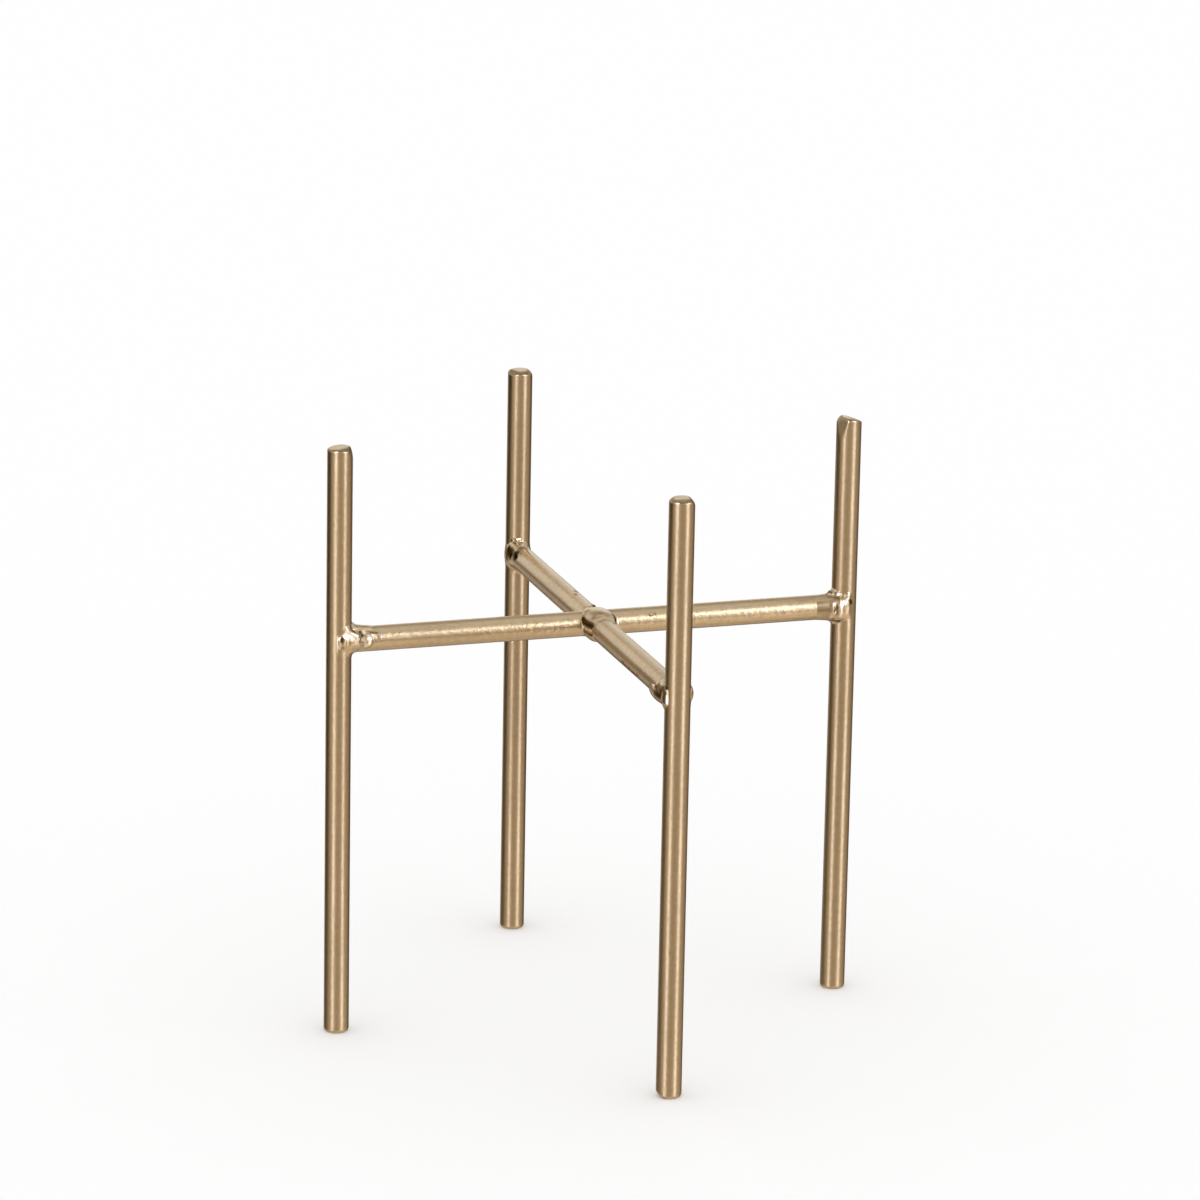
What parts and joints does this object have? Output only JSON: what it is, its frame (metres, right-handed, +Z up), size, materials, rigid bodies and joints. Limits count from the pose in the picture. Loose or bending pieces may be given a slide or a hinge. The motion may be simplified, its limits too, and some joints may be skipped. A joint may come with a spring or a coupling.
{
  "type": "plant stand",
  "caption": "Small welded pot stand of round rod: upright legs joined by a level cross of bars that the pot rests on.",
  "frame": {"origin": "on the floor, on the stand's vertical axis under the crossing of the bars", "axes": "+Z up; X along the long cross bar, from the left leg to the right leg; -Y towards the front leg"},
  "size_m": [0.132, 0.132, 0.144],
  "materials": {
    "coated_rod": "satin",
    "coated_weld": "satin"
  },
  "bodies": {
    "root": {"leg_left": "coated_rod", "leg_right": "coated_rod", "leg_front": "coated_rod", "leg_back": "coated_rod", "cross_bar": "coated_rod", "half_bar_front": "coated_rod", "half_bar_back": "coated_rod", "weld_left": "coated_weld", "weld_right": "coated_weld", "weld_front": "coated_weld", "weld_back": "coated_weld", "weld_centre": "coated_weld"}
  },
  "joints": []
}
